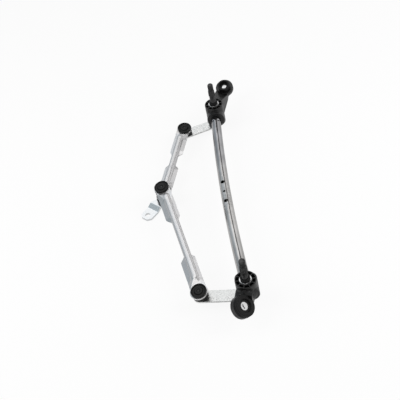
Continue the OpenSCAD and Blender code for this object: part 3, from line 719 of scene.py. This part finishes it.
# %% Tube
TUBE_R, TUBE_WALL, TUBE_DROP, TUBE_BOW = 9.0, 1.5, 22.0, 7.0
TUBE_FROM = 13.2
ARC_R = ((TUBE_LENGTH / 2) ** 2 + TUBE_BOW ** 2) / (2 * TUBE_BOW)
HOLES_AT, HOLE_PITCH, HOLE_ASIDE, HOLE_R, LOCATING_R = 209.0, 46.0, 2.3, 3.5, 2.0
SEAT_HALF, SEAT_R, SEAT_TURN = 36.0, 8.6, -14.0
TOOL_RINGS = ((168.0, 0.12), (173.0, 0.1), (246.0, 0.12), (252.0, 0.12), (258.0, 0.08))
CRIMPS = ((31.0, -35.0), (31.0, 35.0), (399.0, -35.0), (399.0, 35.0))
CRIMP_R, CRIMP_DEEP, CHAMFER, TUBE_STATIONS = 4.0, 0.8, 0.8, 270


def tube_centre(y):
    aside = ARC_R - TUBE_BOW - math.sqrt(ARC_R ** 2 - (y - TUBE_LENGTH / 2) ** 2)
    return Vector((aside, y, -TUBE_DROP))


def dent(y, turn):
    """How far the wall is pressed in, at a place along the tube and degrees from its crown."""
    seat = 1.0 - eased(abs(y - HOLES_AT), SEAT_HALF - 5.0, SEAT_HALF + 5.0)
    depth = seat * max(0.0, TUBE_R - SEAT_R / max(0.2, math.cos(math.radians(turn - SEAT_TURN))))
    for at, deep in TOOL_RINGS:
        depth += deep * math.exp(-((y - at) / 1.6) ** 2) * max(0.0, math.cos(math.radians(turn)))
    for at, side in CRIMPS:
        off = math.hypot(y - at, math.radians(turn - side) * TUBE_R)
        depth = max(depth, math.sqrt(max(0.0, CRIMP_R ** 2 - off ** 2)) - CRIMP_R + CRIMP_DEEP)
    return depth


def tube_ring(y, steps=72):
    heading = math.asin((TUBE_LENGTH / 2 - y) / ARC_R)
    side = Vector((math.cos(heading), math.sin(heading), 0.0))
    ring = []
    for i in range(steps):
        turn = 360.0 * i / steps - 180.0
        r = TUBE_R - dent(y, turn)
        a = math.radians(turn)
        ring.append(tube_centre(y) + side * (r * math.sin(a)) + Vector((0, 0, r * math.cos(a))))
    return ring


def drill(at, y, radius, bottom):
    """A drill with a chamfer where it meets the tube's crown."""
    mouth = radius + CHAMFER
    outline = [(0, bottom), (radius, bottom), (radius, TUBE_R - 1.1), (mouth, TUBE_R + 0.3),
               (mouth, TUBE_R + 4), (0, TUBE_R + 4)]
    return lathe("drill", outline, Matrix.Translation(Vector((at, y, -TUBE_DROP)) * MM), 32)


holes_x = tube_centre(HOLES_AT).x - HOLE_ASIDE
drills = [drill(holes_x, HOLES_AT - HOLE_PITCH / 2, HOLE_R, -2 * TUBE_R),
          drill(holes_x, HOLES_AT + HOLE_PITCH / 2, HOLE_R, -2 * TUBE_R),
          drill(holes_x, HOLES_AT, LOCATING_R, 0)]
tube_rows = [tube_ring(TUBE_FROM + (TUBE_LENGTH - 2 * TUBE_FROM) * i / TUBE_STATIONS)
             for i in range(TUBE_STATIONS + 1)]
wall = ("SOLIDIFY", {"thickness": TUBE_WALL * MM, "offset": -1.0})
tube = shaped("frame_tube_form", loft(tube_rows, True), wall, *[cut_by(d) for d in drills])
tube.data.set_sharp_from_angle(angle=SMOOTH_ANGLE)
for d in drills:
    bpy.data.objects.remove(d)
stand_in(tube, "frame_tube")
print("tube:", len(tube.data.polygons), "faces")

# %% [markdown]
# ## Link rods
# Each rod is one pressing. A rounded bead runs along it. At each end lies a wide paddle, whose
# two flanges droop away from the bead, and round each ball the sheet is flat, with a pressed
# fan that rises into the bead. A bar on a flat plate would show a hard line between them, so
# the rod is lofted: at each station, one row of points goes from the left edge over the bead to
# the right edge. A Solidify modifier gives the sheet its thickness, and a drill cuts the drain.

# %% Rod sizes and frames
SHEET, PLATE_RISE = 2.0, 2.5
BEAD_R, BEAD_HALF, BEAD_ASIDE, BEAD_CROWN, BEAD_STOP = 5.5, 6.5, 2.3, 3.0, 24.0
BALL_R, FILLET, DRAIN_R = 5.0, 1.6, 1.6
FLAT_FROM, FLAT_HALF, FLAT_RUN, CROWN_STEPS, FLANGE_STEPS = 9.0, 15.0, 14.0, 28, 6
FAN_H, FAN_FROM, FAN_HALF, FAN_RUN, FAN_ASIDE = 2.4, 12.0, (10.0, 4.0), 6.0, -1.2
ROD_LEAN = {"near_rod": -7.0, "far_rod": -6.0}


def ball_top(node):
    """The centre of the ball at the top of a stud, from the stud's box."""
    low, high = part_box(node)
    return Vector(((low.x + high.x) / 2, (low.y + high.y) / 2, high.z - BALL_R * MM))


PIN = Vector(next(j for j in record["behaviour"]["joints"] if j["name"] == "crank_swing")["pos_m"])
ROD_ENDS = {"near_rod": (ball_top("near_lever_ball"), ball_top("crank_upper_ball")),
            "far_rod": (ball_top("far_lever_ball"), PIN)}


def rod_place(node):
    """The rod's own axes: X from the lever's ball to the crank's, leaning about that line."""
    start, end = ROD_ENDS[node]
    reach = end - start
    climb = math.atan2(reach.z, math.hypot(reach.x, reach.y))
    return (Matrix.Translation(start) @ Matrix.Rotation(math.atan2(reach.y, reach.x), 4, "Z")
            @ Matrix.Rotation(-climb, 4, "Y") @ Matrix.Rotation(math.radians(ROD_LEAN[node]), 4, "X"))


for node, (start, end) in ROD_ENDS.items():
    print(node, "length", round((end - start).length / MM, 1), "mm")

# %% Pressed rods


def pressed_rod(node, discs, paddles, halves, bead_from, shoulders, droops):
    """Lofts one rod.

    discs, paddles: radius of the round ends and length of the wide ends, lever first, then crank
    halves: half widths of the paddles, left and right
    shoulders: how long a paddle takes to narrow, left and right at the lever, then at the crank
    droops: degrees that the left flange falls at the lever and at the crank, then the right one"""
    place = rod_place(node)
    start, end = ROD_ENDS[node]
    length = (end - start).length / MM
    bead_to = length - BEAD_STOP
    crank_paddle = length - paddles[1]

    def edge(x, side, half, at_lever, at_crank):
        """Half width to one side: bead edge, paddle or end disc, whichever is wider."""
        bead = BEAD_HALF - side * BEAD_ASIDE
        paddle = max(1.0 - eased(x, paddles[0] - 0.3 * at_lever, paddles[0] + 0.7 * at_lever),
                     eased(x, crank_paddle - 0.6 * at_crank, crank_paddle + 0.4 * at_crank))
        width = bead + (half - bead) * paddle if 0 <= x <= length else 0.0
        for centre, disc in zip((0.0, length), discs):
            width = max(width, math.sqrt(max(0.0, disc ** 2 - (x - centre) ** 2)))
        return width

    def height(x, y, flange):
        """Top of the sheet above its underside."""
        off = abs(y + BEAD_ASIDE)
        past = x - min(max(x, bead_from), bead_to)
        arch = 1.0 - (past / BEAD_R) ** 2 - (off / BEAD_HALF) ** BEAD_CROWN
        bead = BEAD_R * math.sqrt(max(0.0, arch))
        sheet = (SHEET + fan(min(x, length - x), y)) * flange
        top = 0.5 * (bead + sheet + math.hypot(bead - sheet, FILLET * flange))
        flat = between(x, (FLAT_FROM, FLAT_HALF), (bead_from - BEAD_R + 1.0, 3.0), (bead_from + 3.0, BEAD_R),
                       (bead_to - FLAT_RUN, BEAD_R), (length - FLAT_FROM, FLAT_HALF))
        droop = droops[0] + (droops[1] - droops[0]) * x / length if y > -BEAD_ASIDE else droops[2]
        return top - math.tan(math.radians(droop)) * max(0.0, off - flat)

    def fan(inward, y):
        """Height of the pressed fan, which is level across although the rod leans."""
        half = between(inward, (FAN_FROM, FAN_HALF[0]), (bead_from, FAN_HALF[1]))
        rise = FAN_H * eased(inward, FAN_FROM, bead_from - FAN_RUN)
        rise *= 1.0 - eased(inward, bead_from, bead_from + FAN_RUN)
        level = -math.tan(math.radians(ROD_LEAN[node])) * (y + FAN_ASIDE) * min(1.0, rise)
        return (rise + level) * (1.0 - eased(abs(y + FAN_ASIDE), half - 2.0, half + 3.0))

    tip = [math.cos(math.radians(a)) for a in range(0, 90, 6)]
    stations = [-discs[0] * t for t in tip] + [float(x) for x in range(0, int(length) + 1)]
    stations += [length + discs[1] * t for t in reversed(tip)]
    crown = [math.cos(math.pi * i / CROWN_STEPS) for i in range(CROWN_STEPS + 1)]
    to_mm = Matrix.Diagonal((1 / MM, 1 / MM, 1 / MM, 1)) @ place @ Matrix.Diagonal((MM, MM, MM, 1))
    rows = []
    for x in stations:
        left = edge(x, 1.0, halves[0], shoulders[0], shoulders[2])
        right = -edge(x, -1.0, halves[1], shoulders[1], shoulders[3])
        flange = max(1.0 - eased(x, paddles[0] - 8.0, paddles[0] + 4.0),
                     eased(x, crank_paddle - 4.0, crank_paddle + 8.0))
        across = [-BEAD_ASIDE + BEAD_HALF * c for c in crown]
        across = [left + (across[0] - left) * i / FLANGE_STEPS for i in range(FLANGE_STEPS)] + across
        across += [across[-1] + (right - across[-1]) * i / FLANGE_STEPS for i in range(1, FLANGE_STEPS + 1)]
        rows.append([to_mm @ Vector((x, y, PLATE_RISE - SHEET + height(x, y, flange)))
                     for y in (min(max(y, right), left) for y in across)])
    drain = place @ Matrix.Translation(Vector((bead_from - BEAD_R - 1.5, -BEAD_ASIDE, 0)) * MM)
    hole = lathe("drill", [(0, -8), (DRAIN_R, -8), (DRAIN_R, 12), (0, 12)], drain, 24)
    thick = ("SOLIDIFY", {"thickness": SHEET * MM, "offset": -1.0})
    obj = shaped(node + "_form", loft(rows, False), thick, cut_by(hole))
    obj.data.set_sharp_from_angle(angle=SMOOTH_ANGLE)
    bpy.data.objects.remove(hole)
    return stand_in(obj, node)


near = pressed_rod("near_rod", discs=(14.9, 14.0), paddles=(72.0, 78.0), halves=(12.5, 13.5), bead_from=30.0,
                   shoulders=(11.0, 8.0, 15.0, 8.0), droops=(20.0, 25.0, 12.0))
far = pressed_rod("far_rod", discs=(14.0, 14.0), paddles=(66.0, 71.0), halves=(10.8, 13.6), bead_from=25.0,
                  shoulders=(8.0, 11.0, 8.0, 11.0), droops=(2.0, 2.0, 16.0))
print("rods:", len(near.data.polygons), len(far.data.polygons), "faces")

# %% [markdown]
# ## Ball joints
# Each socket is turned from one outline: a tall skirt under the rod, and above it a cap with a
# thin rim, a dished ring, a low dome and a dimple in its middle. The studs are turned as well:
# a domed rivet head, the shank in its strip, a collar, a neck and the ball. Joined cylinders
# would need a boolean for each step, and one outline gives a clean closed mesh.

# %% Sockets
CAP_R, CAP_H, SKIRT_H, MOUTH_R = 13.1, 3.6, 9.0, 6.5
SKIRT_R = {"near_rod_lever_socket": 13.0, "near_rod_crank_socket": 14.3,
           "far_rod_lever_socket": 13.8, "far_rod_crank_socket": 14.3}
CAP_TOP = PLATE_RISE + CAP_H
SKIRT_TOP = PLATE_RISE - SHEET
SKIRT_BOTTOM = SKIRT_TOP - SKIRT_H


def socket_outline(skirt, stud_through):
    """From the mouth round the skirt to the middle of the cap."""
    low, waist = SKIRT_BOTTOM, skirt - 0.5
    mouth = [(0.0, low + 3.5), (MOUTH_R - 2.0, low + 3.5), (MOUTH_R, low)]
    outside = [(skirt, low), (skirt, low + 3.0), (waist, low + 3.6), (waist, SKIRT_TOP - 2.0),
               (skirt, SKIRT_TOP - 1.4), (skirt, SKIRT_TOP), (CAP_R - 2.0, SKIRT_TOP)]
    cap = [(CAP_R - 2.0, PLATE_RISE), (CAP_R, PLATE_RISE), (CAP_R, CAP_TOP), (CAP_R - 1.6, CAP_TOP),
           (CAP_R - 2.6, CAP_TOP - 1.8), (7.8, CAP_TOP - 2.0)]
    if stud_through:
        middle = [(5.2, CAP_TOP - 0.6), (4.8, CAP_TOP - 2.4), (0.0, CAP_TOP - 2.4)]
    else:
        middle = [(6.6, CAP_TOP - 0.4), (3.6, CAP_TOP - 0.2), (2.8, CAP_TOP - 1.1), (0.0, CAP_TOP - 1.2)]
    return rounded(mouth + outside + cap + middle, 0.45)


for rod in ("near_rod", "far_rod"):
    reach = (ROD_ENDS[rod][1] - ROD_ENDS[rod][0]).length
    for end, x in (("lever", 0.0), ("crank", reach)):
        node = rod + "_" + end + "_socket"
        outline = socket_outline(SKIRT_R[node], node == "far_rod_crank_socket")
        stand_in(lathe(node + "_form", outline, rod_place(rod) @ Matrix.Translation((x, 0, 0))), node)
print("sockets turned")

# %% Ball studs
BALL_RISE, NECK_R, SHANK_R, HEAD_R, HEAD_T, COLLAR_R = 11.0, 3.0, 4.0, 6.5, 1.8, 5.5
LEVER_T = 3.2


def stud_outline(strip):
    """A ball at the origin on its neck, riveted through a strip of the given thickness."""
    under = -BALL_RISE - strip
    low = under - HEAD_T
    ball = [(BALL_R * math.cos(math.radians(a)), BALL_R * math.sin(math.radians(a)))
            for a in range(-50, 90, 7)]
    return [(0, low), (3.2, low + 0.1), (5.3, low + 0.6), (HEAD_R, low + 1.4), (HEAD_R, under),
            (SHANK_R, under), (SHANK_R, -BALL_RISE), (COLLAR_R, -BALL_RISE), (COLLAR_R, 1.0 - BALL_RISE),
            (NECK_R, 1.0 - BALL_RISE)] + ball + [(0, BALL_R)]


for end in ("near", "far"):
    node = end + "_lever_ball"
    stand_in(lathe(node + "_form", stud_outline(LEVER_T), Matrix.Translation(ball_top(node)), 48), node)
print("studs turned")

# %% [markdown]
# ## Mount eyes
# A rubber grommet sits in each eye, with a groove round its flange and a deep dish in front. The
# steel bush in it is solid but for a slot, which lets the screw find its hole in the car body.
# Both are turned. A hull of the slot's rim, drawn out long, cuts the slot, because one boolean
# with a convex tool is the safest kind.

# %% Grommets and bushes
REAR_R, REAR_H, GROMMET_NECK_R, BUSH_R, BUSH_BACK = 13.5, 3.5, 10.0, 7.3, -13.0
BUSH_EDGE, SLOT_HALF, SLOT_R, SLOT_STEPS, CLEAR = 0.4, 2.6, 1.45, 24, 5.0


def grommet_outline(flange_r, flange_h, dish_r, floor, lip_r, lip_low):
    """A ring from the bush's seat round the rear flange, the neck, the grooved front flange and
    the dish to the lip in front of the bush."""
    back = -RING_H - REAR_H
    groove = flange_r - 0.9
    rear = [(BUSH_R, back), (REAR_R, back), (REAR_R, -RING_H), (GROMMET_NECK_R, -RING_H), (GROMMET_NECK_R, 0.0)]
    flange = [(flange_r, 0.0), (flange_r, flange_h * 0.38), (groove, flange_h * 0.46),
              (groove, flange_h * 0.54), (flange_r, flange_h * 0.62), (flange_r, flange_h)]
    dish = [(dish_r + 0.8, flange_h), (dish_r, flange_h - 1.0), (dish_r - 0.4, floor),
            (lip_r, floor), (lip_r, lip_low), (BUSH_R, lip_low)]
    return rounded(rear + flange + dish, 0.7)


def slotted_bush(node, place, front, slot_at, slot_turn):
    """A turned bush with a slot through it. slot_at is off the axis, in millimetres."""
    turn = math.radians(slot_turn)
    rim = []
    for i in range(SLOT_STEPS):
        a = 2.0 * math.pi * (i + 0.5) / SLOT_STEPS
        end = math.copysign(SLOT_HALF, math.cos(a))
        x, y = end + SLOT_R * math.cos(a), SLOT_R * math.sin(a)
        rim.append((slot_at[0] + x * math.cos(turn) - y * math.sin(turn),
                    slot_at[1] + x * math.sin(turn) + y * math.cos(turn)))
    ends = (BUSH_BACK - CLEAR, front + CLEAR)
    form = hull(bmesh.new(), [place @ (Vector((x, y, z)) * MM) for x, y in rim for z in ends])
    bmesh.ops.recalc_face_normals(form, faces=form.faces)
    cutter = shaped("slot_cutter", form)
    edge_r = BUSH_R - BUSH_EDGE
    outline = [(0, BUSH_BACK), (edge_r, BUSH_BACK), (BUSH_R, BUSH_BACK + BUSH_EDGE),
               (BUSH_R, front - BUSH_EDGE), (edge_r, front), (0, front)]
    bush = worked(lathe(node + "_form", outline, place), cut_by(cutter))
    bush.data.set_sharp_from_angle(angle=SMOOTH_ANGLE)
    bpy.data.objects.remove(cutter)
    return stand_in(bush, node)


NEAR_BUSH_FRONT, FAR_BUSH_FRONT = 2.7, 1.4
near_grommet = grommet_outline(17.8, 6.2, 10.4, 3.2, 6.6, NEAR_BUSH_FRONT)
far_grommet = grommet_outline(11.7, 9.5, 8.1, 2.6, 4.5, FAR_BUSH_FRONT)
stand_in(lathe("near_grommet_form", near_grommet, NEAR_EYE), "near_grommet")
stand_in(lathe("far_grommet_form", far_grommet, FAR_EYE), "far_grommet")
slotted_bush("near_grommet_sleeve", NEAR_EYE, NEAR_BUSH_FRONT, (-1.4, -1.2), -46.0)
slotted_bush("far_grommet_sleeve", FAR_EYE, FAR_BUSH_FRONT, (0.0, -3.6), 0.0)
print("eyes dressed")

# %% [markdown]
# ## Spindles
# A spindle is a turned bar with a knurled cone for the wiper arm and a thread for its nut. The
# thread is one square bar on its corner, wound along a spiral, and the knurl is one ridge repeated
# round the cone. Both follow a rule, so Geometry Nodes make them, with named inputs for sizes.

# %% Node groups for the thread and the knurl


def node_group(name, **inputs):
    """An empty geometry node group, its inputs as Values, and their identifiers."""
    tree = bpy.data.node_groups.new(name, "GeometryNodeTree")
    tree.interface.new_socket("Geometry", in_out="INPUT", socket_type="NodeSocketGeometry")
    tree.interface.new_socket("Geometry", in_out="OUTPUT", socket_type="NodeSocketGeometry")
    sockets = {key: tree.interface.new_socket(key, in_out="INPUT", socket_type="NodeSocket" + kind).identifier
               for key, kind in inputs.items()}
    group = Finish(name, tree)
    start = group.add("NodeGroupInput")
    return group, {key: start.also(key) for key in inputs}, sockets


def close_group(group, shape, foot, finish):
    """Moves the shape to its foot, makes it real and paints it."""
    moved = group.add("GeometryNodeTransform", None, {"Geometry": shape, "Translation": foot})
    real = group.add("GeometryNodeRealizeInstances", None, {"Geometry": moved})
    painted = group.add("GeometryNodeSetMaterial", None, {"Geometry": real, "Material": finish})
    group.add("NodeGroupOutput", None, {"Geometry": painted})


def grown(name, group, sockets, node, **sizes):
    """Runs a node group on an empty object and keeps the result as a plain mesh."""
    obj = new_object(name, bpy.data.meshes.new(name))
    modifier = obj.modifiers.new("grow", "NODES")
    modifier.node_group = group.tree
    for key, value in sizes.items():
        modifier[sockets[key]] = value
    return belongs(applied(obj), node)


thread, size, THREAD = node_group("spindle_thread", Radius="Float", Depth="Float", Turns="Float",
                                  Height="Float", Foot="Vector")
helix = thread.add("GeometryNodeCurveSpiral", None,
                   {"Resolution": 32, "Rotations": size["Turns"], "Height": size["Height"],
                    "Start Radius": size["Radius"], "End Radius": size["Radius"]})
tooth = thread.add("GeometryNodeCurvePrimitiveCircle", None, {"Resolution": 4, "Radius": size["Depth"]})
wound = thread.add("GeometryNodeCurveToMesh", None,
                   {"Curve": helix, "Profile Curve": tooth, "Fill Caps": True})
close_group(thread, wound, size["Foot"], finishes["dark_steel"])

knurl, size, KNURL = node_group("spindle_knurl", Count="Int", Radius="Float", Ridge="Float", Height="Float",
                                Lean="Float", Foot="Vector")
circle = knurl.add("GeometryNodeMeshCircle", None, {"Vertices": size["Count"], "Radius": size["Radius"]})
ridge = knurl.add("GeometryNodeMeshCylinder", None,
                  {"Vertices": 4, "Radius": size["Ridge"], "Depth": size["Height"]})
turn_by = knurl.add("GeometryNodeInputIndex") * (2.0 * math.pi) / size["Count"]
facing = knurl.add("ShaderNodeCombineXYZ", None, {"Y": size["Lean"], "Z": turn_by})
ridges = knurl.add("GeometryNodeInstanceOnPoints", None,
                   {"Points": circle, "Instance": ridge, "Rotation": facing})
close_group(knurl, ridges, size["Foot"], finishes["dark_steel"])
print("node groups:", thread.tree.name, knurl.tree.name)

# %% Spindles
SPINDLE_R, SHAFT_R, TAIL_R = 6.2, 5.5, 5.0
GROOVE_Z, GROOVE_T, SEAL_R, SEAL_H = 1.35, 1.2, 8.3, 5.0
KNURL_Z, THREAD_Z, TOP_Z = 22.0, 34.0, 48.0
KNURL_FOOT_R, KNURL_TOP_R, THREAD_R = 6.3, 5.9, 5.3
THREAD_DEEP, THREAD_PITCH, KNURL_COUNT, KNURL_RIDGE = 0.5, 1.5, 30, 0.5


def spindle_outline(bottom):
    """From the riveted end under the lever up to the tip of the thread."""
    under, groove_top = bottom + HEAD_T, GROOVE_Z + GROOVE_T
    root = THREAD_R - THREAD_DEEP
    rivet = [(0, bottom), (3.2, bottom + 0.1), (5.4, bottom + 0.6), (HEAD_R, bottom + 1.3), (HEAD_R, under),
             (TAIL_R, under), (TAIL_R, under + LEVER_T)]
    shaft = [(SPINDLE_R, under + LEVER_T), (SPINDLE_R, GROOVE_Z), (SPINDLE_R - 0.5, GROOVE_Z),
             (SPINDLE_R - 0.5, groove_top), (SPINDLE_R, groove_top), (SPINDLE_R, groove_top + SEAL_H - 0.6),
             (SHAFT_R, groove_top + SEAL_H + 0.4), (SHAFT_R, KNURL_Z - 1.0)]
    cone = [(KNURL_FOOT_R - 0.35, KNURL_Z), (KNURL_TOP_R - 0.35, THREAD_Z - 1.0)]
    tip = [(THREAD_R - 0.9, THREAD_Z), (THREAD_R - 0.9, THREAD_Z + 0.8), (root, THREAD_Z + 1.4),
           (root, TOP_Z - 1.6), (THREAD_R - 1.2, TOP_Z - 0.4), (2.0, TOP_Z), (0, TOP_Z)]
    return rivet + shaft + cone + tip


def seal_outline():
    """A lipped rubber seal with one groove."""
    low = GROOVE_Z + GROOVE_T
    inner = SPINDLE_R + 0.05
    return [(inner, low), (SEAL_R, low), (SEAL_R, low + 0.9), (SEAL_R - 0.4, low + 1.3),
            (SEAL_R - 0.4, low + 1.6), (SEAL_R, low + 2.0), (SEAL_R, low + 2.8), (SEAL_R - 0.9, low + 4.2),
            (inner + 0.3, low + SEAL_H), (inner, low + SEAL_H)]


for end, y in (("near", 0.0), ("far", TUBE_LENGTH)):
    axis = Vector((0.0, y, 0.0)) * MM
    node = end + "_spindle"
    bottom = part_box(node)[0].z / MM
    stand_in(lathe(node + "_form", spindle_outline(bottom), Matrix.Translation(axis), 64), node)
    threaded = TOP_Z - THREAD_Z - 3.2
    grown(node + "_thread", thread, THREAD, node, Radius=(THREAD_R - THREAD_DEEP) * MM,
          Depth=THREAD_DEEP * MM, Turns=threaded / THREAD_PITCH, Height=threaded * MM,
          Foot=axis + Vector((0, 0, (THREAD_Z + 1.4) * MM)))
    knurled = THREAD_Z - 1.0 - KNURL_Z
    grown(node + "_knurl", knurl, KNURL, node, Count=KNURL_COUNT, Ridge=KNURL_RIDGE * MM,
          Height=knurled * MM, Radius=((KNURL_FOOT_R + KNURL_TOP_R) / 2 - KNURL_RIDGE) * MM,
          Lean=-math.atan2(KNURL_FOOT_R - KNURL_TOP_R, knurled),
          Foot=axis + Vector((0, 0, (KNURL_Z + knurled / 2) * MM)))
    stand_in(lathe(end + "_shaft_seal_form", seal_outline(), Matrix.Translation(axis), 64), end + "_shaft_seal")
print("spindles turned")
